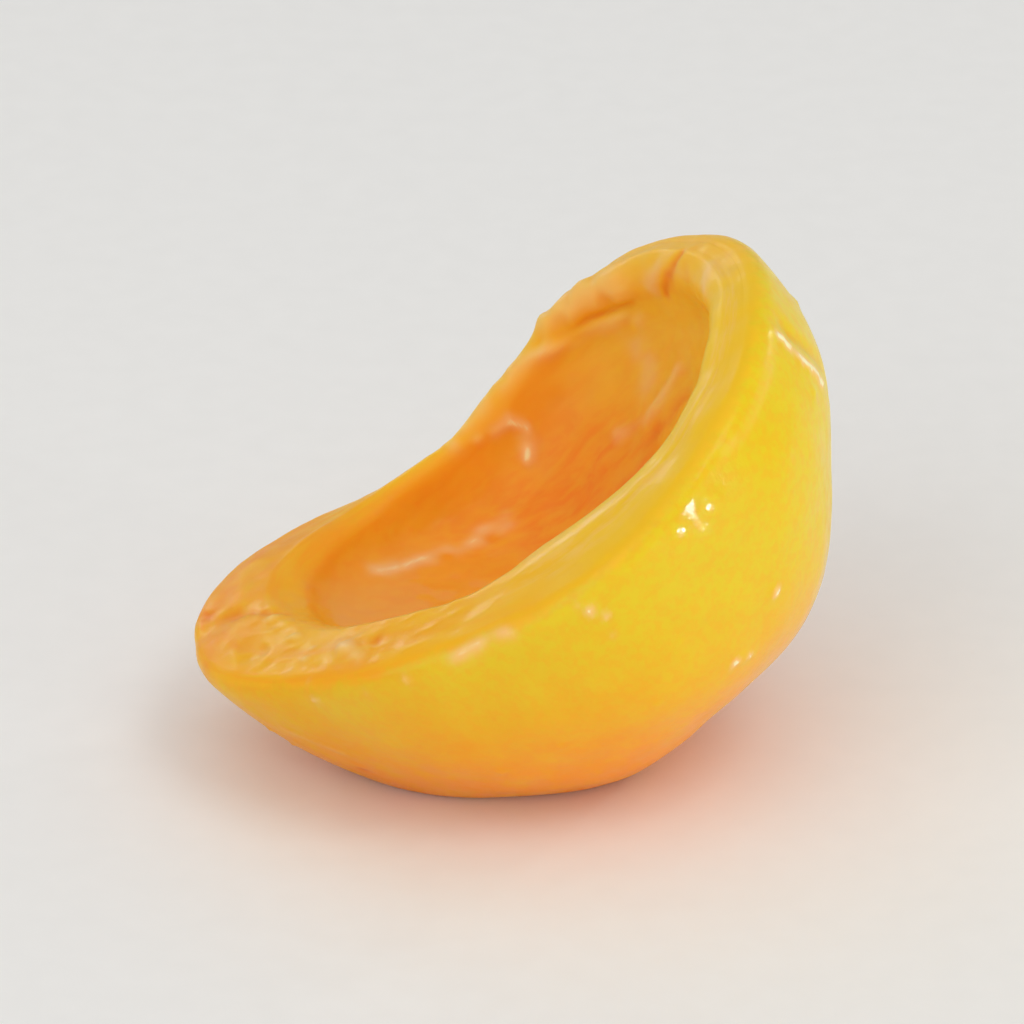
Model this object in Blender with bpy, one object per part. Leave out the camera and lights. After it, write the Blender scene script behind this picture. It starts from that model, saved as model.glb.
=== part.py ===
"""A poached apricot half: one soft piece of fruit, with its skin, its cut face and its pit hollow.

The half is shaped on its own axes first: the cut face looks along +Z, the stem end is at -X,
the rounded end at +X, the folded wall at +Y and the full wall at -Y. It is then tipped to the
way it lies, and its underside is pressed flat where it rests. Lengths are in metres.
"""

import math

import bmesh
import bpy
from mathutils import Matrix, Vector

# The outline of the cut face, measured from the middle of the fruit.
ROUND_END = 0.0220
STEM_END = 0.0271
FOLDED_SIDE = 0.0209
FULL_SIDE = 0.0206
OUTLINE_FULLNESS = 2.15

# The skin side.
DEPTH = 0.0203
DOME_FULLNESS = 2.3
STEM_TAPER = 0.23
LUMP_HEIGHT = 0.00022

# The width of the cut flesh around the pit hollow.
FLESH_AT_ROUND_END = 0.0050
FLESH_AT_STEM_END = 0.0090
FLESH_AT_FOLDED_SIDE = 0.0037
FLESH_AT_FULL_SIDE = 0.0078

# The cut edge and the hollow.
SKIN_CORNER = 0.0015
FACE_RISE = 0.0004
LIP_ROUND = 0.0020
PIT_DEPTH = 0.0105

# The groove that the stem leaves between the hollow and the stem end.
GROOVE_DEPTH = 0.0013
GROOVE_WIDTH = 0.0017
GROOVE_START = -0.0120
GROOVE_SIDE = 0.0012
GROOVE_RUN_IN = 0.0040
GROOVE_REACH_DOWN = 0.0060

# How the soft walls have slumped.
FOLD_INWARD = 0.0053
FOLD_DROOP = 0.0035
FOLD_PLACE = -0.0065
FOLD_LENGTH = 0.0135
DIP_DOWN = 0.0011
DIP_PLACE = 0.0028
DIP_LENGTH = 0.0136
SLUMP_REACH = 1.5
STEM_LIFT = 0.0036
ROUND_LIFT = 0.0016

# How the half lies.
TIP_UP = math.radians(34.4)
TURN = math.radians(10.9)
ROLL = math.radians(-3.5)
FOOT_SINK = 0.0030
FOOT_EDGE = 0.0006
BELLY_REACH = 1.4
BELLY_CREEP = 0.0036
BELLY_SAG = 0.0019
BELLY_PLACE = 0.0120
BELLY_LENGTH = 0.0105

# The rings of the mesh, and where each part of the wall ends, counted from the bottom of the dome.
SLICES = 84
RINGS = 44
SKIN_END = 0.50
CORNER_END = 0.58
FACE_END = 0.66
LIP_END = 0.76

APRICOT_ORANGE = (0.81, 0.36, 0.035, 1.0)
WET_ROUGHNESS = 0.22


def clear_scene():
    for obj in list(bpy.data.objects):
        bpy.data.objects.remove(obj, do_unlink=True)


def around(azimuth, round_end, folded_side, stem_end, full_side):
    """A size that changes smoothly between its values at the two ends and the two sides."""
    along = math.cos(azimuth)
    across = math.sin(azimuth)
    end = round_end if along > 0 else stem_end
    side = folded_side if across > 0 else full_side
    return end * along**2 + side * across**2


def outline_radius(azimuth):
    """The distance from the middle to the skin, measured in the cut plane."""
    along = math.cos(azimuth)
    across = math.sin(azimuth)
    end = ROUND_END if along > 0 else STEM_END
    side = FOLDED_SIDE if across > 0 else FULL_SIDE
    power = OUTLINE_FULLNESS
    return (abs(along / end) ** power + abs(across / side) ** power) ** (-1 / power)


def wall_profile(station, outer, inner):
    """The radius and height of the wall at a station from 0, under the dome, to 1, in the hollow."""
    lip_height = FACE_RISE - LIP_ROUND
    if station < SKIN_END:
        angle = station / SKIN_END * math.pi / 2
        power = 2 / DOME_FULLNESS
        radius = outer * math.sin(angle) ** power
        height = -SKIN_CORNER - (DEPTH - SKIN_CORNER) * math.cos(angle) ** power
        return radius, height
    if station < CORNER_END:
        angle = (station - SKIN_END) / (CORNER_END - SKIN_END) * math.pi / 2
        return outer - SKIN_CORNER * (1 - math.cos(angle)), SKIN_CORNER * (math.sin(angle) - 1)
    if station < FACE_END:
        part = (station - CORNER_END) / (FACE_END - CORNER_END)
        start = outer - SKIN_CORNER
        return start + part * (inner + LIP_ROUND - start), part * FACE_RISE
    if station < LIP_END:
        angle = (station - FACE_END) / (LIP_END - FACE_END) * math.pi / 2
        radius = inner + LIP_ROUND * (1 - math.sin(angle))
        return radius, lip_height + LIP_ROUND * math.cos(angle)
    angle = (station - LIP_END) / (1 - LIP_END) * math.pi / 2
    return inner * math.cos(angle), lip_height - (PIT_DEPTH + lip_height) * math.sin(angle)


def bell(distance, length):
    return math.exp(-((distance / length) ** 2))


def ramp(value):
    return min(max(value, 0.0), 1.0)


def lumps(point):
    """The slight unevenness of soft fruit."""
    wave = math.sin(point.x * 330 + 1.0) * math.cos(point.y * 290 - 0.6)
    return LUMP_HEIGHT * (wave + math.sin(point.z * 360 + point.x * 170))


def groove(point):
    """The depth of the stem groove in the cut face."""
    along = ramp((GROOVE_START - point.x) / GROOVE_RUN_IN)
    return GROOVE_DEPTH * along * bell(point.y - GROOVE_SIDE, GROOVE_WIDTH)


def slump(point):
    """Moves a point of the firm fruit to where the soft fruit has it."""
    stem = ramp(-point.x / STEM_END) ** 2
    rounded = ramp(point.x / ROUND_END) ** 2
    high = ramp(1 + point.z / DEPTH)
    fold = high * ramp(point.y / FOLDED_SIDE) ** SLUMP_REACH * bell(point.x - FOLD_PLACE, FOLD_LENGTH)
    dip = high * ramp(-point.y / FULL_SIDE) ** SLUMP_REACH * bell(point.x - DIP_PLACE, DIP_LENGTH)
    moved = point.copy()
    moved.y = point.y * (1 - STEM_TAPER * stem) - FOLD_INWARD * fold
    moved.z += high * (STEM_LIFT * stem + ROUND_LIFT * rounded)
    moved.z -= FOLD_DROOP * fold + DIP_DOWN * dip
    moved.z -= groove(point) * ramp(1 + point.z / GROOVE_REACH_DOWN)
    return moved + point.normalized() * lumps(point)


def fruit_point(azimuth, station):
    outer = outline_radius(azimuth)
    inner = outer - around(
        azimuth, FLESH_AT_ROUND_END, FLESH_AT_FOLDED_SIDE, FLESH_AT_STEM_END, FLESH_AT_FULL_SIDE
    )
    radius, height = wall_profile(station, outer, inner)
    return slump(Vector((radius * math.cos(azimuth), radius * math.sin(azimuth), height)))


def lying_pose():
    """The rotation from the half's own axes to the way it lies."""
    tip = Matrix.Rotation(-TIP_UP, 3, "Y")
    return Matrix.Rotation(TURN, 3, "Z") @ tip @ Matrix.Rotation(ROLL, 3, "X")


def press_flat(points):
    """Lets the belly sag and presses the lowest part flat, with a short round edge to the flat."""
    for point in points:
        low = ramp(-point.z / DEPTH) ** BELLY_REACH
        point.x += BELLY_CREEP * low
        point.z -= BELLY_SAG * low * bell(point.x - BELLY_PLACE, BELLY_LENGTH) * bell(point.y, BELLY_LENGTH)
    floor = min(point.z for point in points) + FOOT_SINK
    for point in points:
        height = point.z - floor
        if height < -FOOT_EDGE:
            height = 0.0
        elif height < FOOT_EDGE:
            height = (height + FOOT_EDGE) ** 2 / (4 * FOOT_EDGE)
        point.z = height


def stand_on_origin(points):
    """Puts the middle of the part's box over the origin."""
    for axis in (0, 1):
        lowest = min(point[axis] for point in points)
        highest = max(point[axis] for point in points)
        for point in points:
            point[axis] -= (lowest + highest) / 2


def apricot_mesh():
    """A ball whose upper half is pushed in to make the cut face and the hollow."""
    shape = bmesh.new()
    bmesh.ops.create_uvsphere(shape, u_segments=SLICES, v_segments=RINGS, radius=1.0)
    pose = lying_pose()
    points = []
    for vert in shape.verts:
        azimuth = math.atan2(vert.co.y, vert.co.x)
        station = math.acos(min(max(-vert.co.z, -1.0), 1.0)) / math.pi
        points.append(pose @ fruit_point(azimuth, station))
    press_flat(points)
    stand_on_origin(points)
    for vert, point in zip(shape.verts, points):
        vert.co = point
    mesh = bpy.data.meshes.new("apricot_half")
    shape.to_mesh(mesh)
    shape.free()
    mesh.shade_smooth()
    return mesh


def fruit_material():
    material = bpy.data.materials.new("wet_apricot")
    material.use_nodes = True
    shader = material.node_tree.nodes["Principled BSDF"]
    shader.inputs["Base Color"].default_value = APRICOT_ORANGE
    shader.inputs["Roughness"].default_value = WET_ROUGHNESS
    shader.inputs["Metallic"].default_value = 0.0
    return material


def main():
    clear_scene()
    half = bpy.data.objects.new("apricot_half", apricot_mesh())
    half.data.materials.append(fruit_material())
    bpy.context.scene.collection.objects.link(half)


main()
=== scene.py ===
"""A wet, poached apricot half on a pale floor: skin, cut flesh, stone hollow, syrup and stage."""

import math

import bpy
import numpy as np
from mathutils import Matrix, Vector


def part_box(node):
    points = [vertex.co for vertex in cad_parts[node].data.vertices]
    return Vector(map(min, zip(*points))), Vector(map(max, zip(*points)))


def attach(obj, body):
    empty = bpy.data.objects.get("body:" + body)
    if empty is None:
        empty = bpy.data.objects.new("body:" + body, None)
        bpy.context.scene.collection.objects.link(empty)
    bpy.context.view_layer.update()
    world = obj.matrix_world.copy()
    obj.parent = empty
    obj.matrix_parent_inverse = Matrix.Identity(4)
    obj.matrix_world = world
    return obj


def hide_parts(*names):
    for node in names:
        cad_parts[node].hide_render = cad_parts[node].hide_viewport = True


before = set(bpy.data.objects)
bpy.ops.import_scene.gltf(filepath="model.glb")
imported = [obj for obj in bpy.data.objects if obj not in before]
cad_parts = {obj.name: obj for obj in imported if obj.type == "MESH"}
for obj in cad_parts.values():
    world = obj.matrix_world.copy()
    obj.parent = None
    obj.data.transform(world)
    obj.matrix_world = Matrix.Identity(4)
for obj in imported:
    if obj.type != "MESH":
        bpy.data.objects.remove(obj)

bl_info = {
    "name": "Apricot Half",
    "version": (1, 0, 0),
    "blender": (4, 5, 0),
    "location": "View3D > Sidebar > Apricot",
    "description": "Builds a wet, poached apricot half with its syrup and a small studio",
    "category": "Add Mesh",
}

NODE = "apricot_half"
BODY = "root"
CAD_LOW, CAD_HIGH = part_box(NODE)
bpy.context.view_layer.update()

# The shape of the half, on its own axes: the cut face looks along +Z, the stem end is at -X,
# the rounded end at +X, the folded wall at +Y and the full wall at -Y. Lengths are in metres and
# angles in radians.
ROUND_END = 0.0220
STEM_END = 0.0271
FOLDED_SIDE = 0.0209
FULL_SIDE = 0.0206
OUTLINE_FULLNESS = 2.15
DEPTH = 0.0203
DOME_FULLNESS = 2.3
STEM_TAPER = 0.23
LUMP_HEIGHT = 0.00022
FLESH_AT_ROUND_END = 0.0050
FLESH_AT_STEM_END = 0.0090
FLESH_AT_FOLDED_SIDE = 0.0037
FLESH_AT_FULL_SIDE = 0.0078
SKIN_CORNER = 0.0015
FACE_RISE = 0.0004
LIP_ROUND = 0.0020
PIT_DEPTH = 0.0105
GROOVE_DEPTH = 0.00015
GROOVE_WIDTH = 0.0017
GROOVE_START = -0.0120
GROOVE_SIDE = 0.0012
GROOVE_RUN_IN = 0.0040
GROOVE_REACH_DOWN = 0.0060
FOLD_INWARD = 0.0053
FOLD_DROOP = 0.0035
FOLD_PLACE = -0.0065
FOLD_LENGTH = 0.0135
DIP_DOWN = 0.0011
DIP_PLACE = 0.0028
DIP_LENGTH = 0.0136
SLUMP_REACH = 1.5
STEM_LIFT = 0.0036
ROUND_LIFT = 0.0016
TIP_UP = math.radians(34.4)
TURN = math.radians(10.9)
ROLL = math.radians(-3.5)
FOOT_SINK = 0.0030
FOOT_EDGE = 0.0006
BELLY_REACH = 1.4
BELLY_CREEP = 0.0036
BELLY_SAG = 0.0019
BELLY_PLACE = 0.0120
BELLY_LENGTH = 0.0105

# The waves of the low swellings, in radians per metre: each rate and its shift, or its lean along X.
LUMPS_ALONG = (330, 1.0)
LUMPS_ACROSS = (290, -0.6)
LUMPS_UP = (360, 170)

# The stations where the skin, the corner of the cut, the cut face and the lip end. A station runs
# from 0, under the dome, to 1, at the bottom of the hollow.
SKIN_END = 0.50
CORNER_END = 0.58
FACE_END = 0.66
LIP_END = 0.76

# The fine mesh: its grid, the cells of its noise and how far its normals are softened.
SLICES = 420
SKIN_RINGS = 100
CORNER_RINGS = 9
FACE_RINGS = 30
LIP_RINGS = 14
HOLLOW_RINGS = 60
NOISE_CELLS = 32
NORMAL_REACH = 0.0007

# Low bumps on the skin: degrees round, station, radius and height.
SKIN_BUMPS = (
    (302.0, 0.484, 0.0014, 0.00013),
    (294.0, 0.492, 0.0012, 0.00012),
    (273.0, 0.498, 0.0010, 0.00009),
    (304.5, 0.323, 0.0008, 0.00010),
    (288.8, 0.288, 0.0008, 0.00010),
    (206.0, 0.403, 0.0009, 0.00008),
    (293.3, 0.471, 0.0024, 0.00008),
    (300.7, 0.461, 0.0026, 0.00009),
    (339.8, 0.490, 0.00055, 0.00016),
    (339.9, 0.478, 0.00050, 0.00014),
    (340.4, 0.465, 0.00055, 0.00016),
    (341.4, 0.452, 0.00060, 0.00017),
    (342.6, 0.440, 0.00055, 0.00016),
    (344.0, 0.428, 0.00055, 0.00015),
    (345.6, 0.415, 0.00045, 0.00013),
)

# Ridges, creases and spots: height, half width, how pale (or, below 0, how deep) the colour is,
# and the line they follow, as degrees round and station.
# The pale colour of these marks is mostly painted highlight and painted reflection on wet crests, clots
# and edges; the deep colour is partly painted shade in creases.
SEAMS = (
    # The knob on the folded wall, the crease under it and the ledge; their pale crests are painted
    # highlight and the crease is partly painted shade.
    (0.00070, 0.00150, 0.35, ((70, 0.672), (64, 0.690), (59, 0.703), (54, 0.710), (50, 0.710))),
    (-0.00028, 0.00055, -0.35, ((72, 0.722), (65, 0.745), (60, 0.751), (55, 0.760), (49, 0.766))),
    (0.00018, 0.00080, 0.35, ((104, 0.690), (97, 0.668), (89, 0.678), (81, 0.697), (74, 0.722))),
    (0.00024, 0.00070, 0.30, ((74, 0.722), (71, 0.740), (61, 0.771), (49, 0.784))),
    # Folds, slits and clots beside the round end and in the hollow, and the syrup's crescent; the pale
    # crests, clots and crescent are painted highlight, the slits partly painted shade.
    (0.00018, 0.00055, 0.35, ((63, 0.880), (48, 0.880), (42, 0.867), (34, 0.845))),
    (-0.00014, 0.00070, -0.3, ((55, 0.898), (43, 0.893), (36, 0.883), (29, 0.865))),
    (0.00005, 0.00090, 0.30, ((51, 0.809), (48, 0.837), (49, 0.857))),
    (-0.00014, 0.00050, -0.45, ((25, 0.668), (27, 0.700), (31, 0.740), (35, 0.764))),
    (-0.00010, 0.00040, -0.35, ((21, 0.640), (19, 0.704))),
    (0.00014, 0.00070, 0.45, ((31, 0.684), (38, 0.750))),
    (0.00010, 0.00070, 0.45, ((10, 0.668), (4, 0.695))),
    (0.00026, 0.00050, 0.72, ((96, 0.766), (91, 0.772), (90, 0.789), (91, 0.812), (94, 0.826))),
    (0.00026, 0.00040, 0.50, ((100, 0.752), (99, 0.758))),
    (
        0.00016, 0.00075, 0.62,
        ((151, 0.812), (142, 0.838), (135, 0.851), (129, 0.858), (122, 0.861), (114, 0.867)),
    ),
    # The torn stem end of the full wall, beside deeper flesh on the folded side; its pale spots and the
    # streak along the corner of the cut are painted glints and highlight.
    (0.00000, 0.00260, -0.26, ((186, 0.580), (172, 0.595), (160, 0.612), (146, 0.626))),
    (
        -0.00013, 0.00060, -0.20,
        ((170, 0.570), (173, 0.600), (178, 0.625), (184, 0.655), (187, 0.690)),
    ),
    (-0.00008, 0.00055, -0.30, ((222, 0.676), (225, 0.645), (226, 0.622))),
    (0.00026, 0.00090, 0.26, ((220, 0.612), (223, 0.604))),
    (0.00018, 0.00050, 0.50, ((188, 0.654),)),
    (0.00016, 0.00045, 0.45, ((202, 0.644),)),
    (0.00016, 0.00040, 0.50, ((212, 0.604),)),
    (0.00014, 0.00034, 0.45, ((211, 0.584),)),
    (0.00012, 0.00026, 0.40, ((217, 0.551),)),
    (0.00012, 0.00026, 0.35, ((217, 0.511),)),
    (0.00012, 0.00026, 0.35, ((227, 0.511),)),
    (0.00012, 0.00026, 0.35, ((235, 0.518),)),
    (0.00006, 0.00048, 0.62, ((244, 0.526), (247.5, 0.526), (252, 0.529), (257, 0.526))),
    (0.00008, 0.00060, 0.34, ((217, 0.628), (220.5, 0.619), (225, 0.594))),
    # The skin: the suture at the round end, the corner of the cut and a scratch low down; the white
    # line beside the suture is a painted glint and the pale corner line a painted highlight.
    (
        -0.00024, 0.00060, -0.10,
        ((344, 0.510), (344, 0.478), (346, 0.458), (349, 0.433), (353, 0.400), (358, 0.300)),
    ),
    (
        0.00008, 0.00034, 2.00,
        ((340, 0.492), (340, 0.478), (341, 0.462), (343, 0.442), (345, 0.420)),
    ),
    (
        0.00008, 0.00035, 0.20,
        ((336, 0.498), (331, 0.498), (324, 0.496), (317, 0.498), (310, 0.503)),
    ),
    (0.00010, 0.00024, 0.20, ((203, 0.471), (206, 0.456), (209, 0.433))),
    (-0.00010, 0.00045, -0.8, ((205, 0.396),)),
    # Small bright flecks along the corner of the cut, on the skin and at the torn end: painted glints.
    (0.00014, 0.00034, 1.8, ((272.2, 0.496),)),
    (0.00014, 0.00030, 1.6, ((273.8, 0.483),)),
    (0.00010, 0.00026, 1.0, ((270.8, 0.508),)),
    (0.00010, 0.00026, 1.0, ((272.2, 0.458),)),
    (0.00014, 0.00032, 1.7, ((286.5, 0.298),)),
    (0.00010, 0.00024, 1.1, ((289.9, 0.285),)),
    (0.00014, 0.00032, 1.7, ((304.5, 0.320),)),
    (0.00010, 0.00026, 1.0, ((321.8, 0.433),)),
    (0.00010, 0.00026, 1.1, ((216.8, 0.513),)),
    (0.00010, 0.00026, 0.45, ((210.0, 0.626),)),
)
SEAM_WOBBLE = 0.00028

# The floor, the surround and the camera.
FLOOR_REACH = 2.0
FLOOR_GAP = 0.00002
SURROUND_COLOUR = (1.0, 0.99, 0.97, 1.0)
SENSOR_WIDTH = 36.0
NEAREST_SEEN = 0.01
FARTHEST_SEEN = 10.0

# The lamps: name, degrees right of the camera, degrees up, distance, width, power and colour.
LAMPS = (
    ("side_lamp", 57, 1, 0.50, 0.046, 0.68, (1.0, 0.98, 0.95)),
    ("front_lamp", 48, 57, 0.80, 0.32, 0.75, (1.0, 0.99, 0.97)),
    ("front_box", -8, 14, 0.90, 0.80, 0.6, (1.0, 1.0, 1.0)),
    ("left_box", -44, 33, 0.90, 0.75, 1.6, (1.0, 0.99, 0.98)),
    ("top_box", -10, 82, 0.90, 1.10, 1.45, (1.0, 1.0, 1.0)),
    ("back_box", -151, 14, 0.90, 0.22, 0.42, (1.0, 1.0, 1.0)),
    ("edge_lamp", 128, 17, 0.80, 0.040, 0.28, (1.0, 1.0, 1.0)),
)


# ---------------------------------------------------------------- shape

def bell(distance, length):
    return np.exp(-((distance / length) ** 2))


def ramp(value):
    return np.clip(value, 0.0, 1.0)


def step(value, start, end):
    """A smooth rise from 0 at start to 1 at end."""
    part = ramp((value - start) / (end - start))
    return part * part * (3 - 2 * part)


def soft_noise(points, size, seed):
    """Smooth noise from -1 to 1 with features of one size."""
    table = np.random.default_rng(seed).uniform(-1, 1, (NOISE_CELLS,) * 3)
    place = points / size
    cell = np.floor(place).astype(int)
    part = place - cell
    part = part * part * (3 - 2 * part)
    total = 0.0
    for corner in np.ndindex(2, 2, 2):
        near = np.where(corner, part, 1 - part).prod(axis=-1)
        index = (cell + corner) % NOISE_CELLS
        total = total + near * table[index[..., 0], index[..., 1], index[..., 2]]
    return total


def ring_stations():
    """The stations of the rings, from under the dome, 0, to the bottom of the hollow, 1."""
    ends = (0.0, SKIN_END, CORNER_END, FACE_END, LIP_END, 1.0)
    counts = (SKIN_RINGS, CORNER_RINGS, FACE_RINGS, LIP_RINGS, HOLLOW_RINGS)
    runs = [np.linspace(a, b, n, endpoint=False) for a, b, n in zip(ends, ends[1:], counts)]
    return np.append(np.concatenate(runs), 1.0)


def by_quarter(azimuth, round_end, folded_side, stem_end, full_side):
    along, across = np.cos(azimuth), np.sin(azimuth)
    end = np.where(along > 0, round_end, stem_end)
    side = np.where(across > 0, folded_side, full_side)
    return end, side, along, across


def outline_radius(azimuth):
    end, side, along, across = by_quarter(azimuth, ROUND_END, FOLDED_SIDE, STEM_END, FULL_SIDE)
    power = OUTLINE_FULLNESS
    return (np.abs(along / end) ** power + np.abs(across / side) ** power) ** (-1 / power)


def flesh_width(azimuth):
    end, side, along, across = by_quarter(
        azimuth, FLESH_AT_ROUND_END, FLESH_AT_FOLDED_SIDE, FLESH_AT_STEM_END, FLESH_AT_FULL_SIDE
    )
    return end * along**2 + side * across**2


def wall_profile(station, outer, inner):
    """The radius and height of the wall, as part.py's solid has it."""
    skin = ramp(station / SKIN_END) * math.pi / 2
    corner = ramp((station - SKIN_END) / (CORNER_END - SKIN_END)) * math.pi / 2
    face = ramp((station - CORNER_END) / (FACE_END - CORNER_END))
    lip = ramp((station - FACE_END) / (LIP_END - FACE_END)) * math.pi / 2
    hollow = ramp((station - LIP_END) / (1 - LIP_END)) * math.pi / 2
    power = 2 / DOME_FULLNESS
    lip_height = FACE_RISE - LIP_ROUND
    start = outer - SKIN_CORNER
    radius = np.select(
        [station < SKIN_END, station < CORNER_END, station < FACE_END, station < LIP_END],
        [
            outer * np.sin(skin) ** power,
            outer - SKIN_CORNER * (1 - np.cos(corner)),
            start + face * (inner + LIP_ROUND - start),
            inner + LIP_ROUND * (1 - np.sin(lip)),
        ],
        inner * np.cos(hollow),
    )
    height = np.select(
        [station < SKIN_END, station < CORNER_END, station < FACE_END, station < LIP_END],
        [
            -SKIN_CORNER - (DEPTH - SKIN_CORNER) * np.cos(skin) ** power,
            SKIN_CORNER * (np.sin(corner) - 1),
            face * FACE_RISE,
            lip_height + LIP_ROUND * np.cos(lip),
        ],
        lip_height - (PIT_DEPTH + lip_height) * np.sin(hollow),
    )
    return radius, height


def lumps(x, y, z):
    """The heights of the low swellings all over the fruit."""
    along, start = LUMPS_ALONG
    across, shift = LUMPS_ACROSS
    up, lean = LUMPS_UP
    wave = np.sin(x * along + start) * np.cos(y * across + shift)
    return LUMP_HEIGHT * (wave + np.sin(z * up + x * lean))


def slump(points):
    """Moves the points of the firm fruit to where the soft fruit has them."""
    x, y, z = np.moveaxis(points, -1, 0)
    stem = ramp(-x / STEM_END) ** 2
    rounded = ramp(x / ROUND_END) ** 2
    high = ramp(1 + z / DEPTH)
    fold = high * ramp(y / FOLDED_SIDE) ** SLUMP_REACH * bell(x - FOLD_PLACE, FOLD_LENGTH)
    dip = high * ramp(-y / FULL_SIDE) ** SLUMP_REACH * bell(x - DIP_PLACE, DIP_LENGTH)
    groove = ramp((GROOVE_START - x) / GROOVE_RUN_IN) * bell(y - GROOVE_SIDE, GROOVE_WIDTH)
    moved = points.copy()
    moved[..., 1] = y * (1 - STEM_TAPER * stem) - FOLD_INWARD * fold
    moved[..., 2] += high * (STEM_LIFT * stem + ROUND_LIFT * rounded)
    moved[..., 2] -= FOLD_DROOP * fold + DIP_DOWN * dip
    moved[..., 2] -= GROOVE_DEPTH * groove * ramp(1 + z / GROOVE_REACH_DOWN)
    outward = points / np.maximum(np.linalg.norm(points, axis=-1, keepdims=True), 1e-9)
    return moved + outward * lumps(x, y, z)[..., None]


def fruit_points(azimuth, station):
    outer = outline_radius(azimuth)
    inner = outer - flesh_width(azimuth)
    radius, height = wall_profile(station, outer, inner)
    firm = np.stack([radius * np.cos(azimuth), radius * np.sin(azimuth), height], axis=-1)
    return slump(firm)


def turn_matrix(angle, axis):
    c, s = math.cos(angle), math.sin(angle)
    turns = {
        "X": ((1, 0, 0), (0, c, -s), (0, s, c)),
        "Y": ((c, 0, s), (0, 1, 0), (-s, 0, c)),
        "Z": ((c, -s, 0), (s, c, 0), (0, 0, 1)),
    }
    return np.array(turns[axis])


POSE = turn_matrix(TURN, "Z") @ turn_matrix(-TIP_UP, "Y") @ turn_matrix(ROLL, "X")


def rest_heights(points, floor):
    """The heights of the points over a floor that presses the lowest part flat."""
    height = points[..., 2] - floor
    edge = (height + FOOT_EDGE) ** 2 / (4 * FOOT_EDGE)
    return np.where(height < -FOOT_EDGE, 0.0, np.where(height < FOOT_EDGE, edge, height))


def sag(points):
    """Lets the soft dome creep and its lowest part hang a little."""
    low = ramp(-points[..., 2] / DEPTH) ** BELLY_REACH
    moved = points.copy()
    moved[..., 0] += BELLY_CREEP * low
    belly = bell(moved[..., 0] - BELLY_PLACE, BELLY_LENGTH) * bell(points[..., 1], BELLY_LENGTH)
    moved[..., 2] -= BELLY_SAG * low * belly
    return moved


def lay_down(points, like):
    """Turns points of the half's own axes to the way it lies. like holds the whole plain surface."""
    whole, own = sag(like @ POSE.T), sag(points @ POSE.T)
    floor = whole[..., 2].min() + FOOT_SINK
    whole[..., 2], own[..., 2] = rest_heights(whole, floor), rest_heights(own, floor)
    low, high = whole.reshape(-1, 3).min(axis=0), whole.reshape(-1, 3).max(axis=0)
    middle = (np.array(CAD_LOW) + np.array(CAD_HIGH)) / 2
    own[..., :2] += (middle - (low + high) / 2)[:2]
    own[..., 2] += CAD_LOW[2]
    return own


# ---------------------------------------------------------------- mesh

# The noises of the relief: weight, size of the features (metres, or steps of the grain) and seed.
DENTS = ((1.0, 0.0068, 3), (0.45, 0.0026, 4))
FLESH_WAVES = ((2.0, 0.0034, 5), (1.0, 0.0013, 16))
GRAIN_WAVES = ((0.3, 1.3, 6),)
RAGS = ((1.0, 0.0028, 7), (0.6, 0.0012, 8))
RAG_MIDDLE = 0.9
LIP_WAVES = ((1.0, 0.0036, 10),)
STONE_PITS = ((0.55, 0.0031, 12), (0.275, 0.0014, 13))
# The strands of the hollow: weight, squeeze along the fruit, size and seed.
STONE_STRANDS = ((0.14, 0.3, 0.0010, 14), (0.084, 0.4, 0.0005, 15))

# Where the relief rises and falls: from and to, in stations, degrees round or metres.
FLESH_RISE = (0.51, 0.60)
TORN_RISE = (174, 190)
TORN_FALL = (256, 230)
TORN_STATIONS = (0.55, 0.60)
TORN_INNER_EDGE = (0.75, 0.68)
CLEAN_RISE = (246, 272)
CLEAN_FALL = (20, 2)
WIDE_FLESH = (0.0045, 0.0075)
HOLLOW_RISE = (0.74, 0.84)
VEIN_RISE = (0.84, 0.90)
POOL_START = (0.70, 0.76)

# Bands along the lip: the station of the middle and the half width.
LIP_WAVE_BAND = (0.66, 0.075)
LIP_WORN_BAND = (0.695, 0.050)
LIP_RIDGE_BAND = (0.645, 0.012)
LIP_SWELL_BAND = (0.720, 0.045)

GRAIN_ROUND = 6
GRAIN_INWARD = 80
VEIN_WIDTH = 0.0009
VEIN_SWAY = 0.0010
VEIN_TURNS = 420
VEIN_SHARE = 0.8
DOME_POWER = 1.3
BEAD_SEED = 23
BEAD_SMALLEST = 0.55
BEAD_STATIONS = (0.34, 0.48)
BEAD_HEIGHT = 0.24
BEAD_EDGE = 0.00005
POOL_FILM = 0.00003
SEAM_WOBBLE_SIZE = 0.0013
SEAM_WOBBLE_SEEDS = (31, 32, 33)
SEAM_BREAKS = (0.9, 0.0012, 34)
SEAM_LEVEL = 0.75
SEAM_GAIN = 1.25


def ridged(points, size, seed):
    """Noise from 0 to 1 with narrow crests."""
    return 1 - np.abs(soft_noise(points, size, seed))


def layers(points, rows, kind=soft_noise):
    """Noises of one kind added up."""
    return sum(weight * kind(points, size, seed) for weight, size, seed in rows)


def band(station, middle, width):
    return bell(station - middle, width)


def domes(place, station, spots):
    """Low domes and dents: each spot is degrees round, station, radius and height."""
    total = np.zeros_like(station)
    for turn, level, radius, height in spots:
        column = int(round(turn / 360 * SLICES)) % SLICES
        row = int(np.abs(station[:, 0] - level).argmin())
        away = np.linalg.norm(place - place[row, column], axis=-1) / radius
        total = total + height * ramp(1 - away**2) ** DOME_POWER
    return total


def away_from(place, line):
    """The distance of each place from a line on the surface, given as (degrees round, station)."""
    turns, levels = np.array(line, float).T
    spots = fruit_points(np.radians(turns), levels)
    away = np.linalg.norm(place - spots[0], axis=-1)
    for start, end in zip(spots, spots[1:]):
        way = end - start
        share = ramp((place - start) @ way / (way @ way))
        away = np.minimum(away, np.linalg.norm(place - start - share[..., None] * way, axis=-1))
    return away


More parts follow.
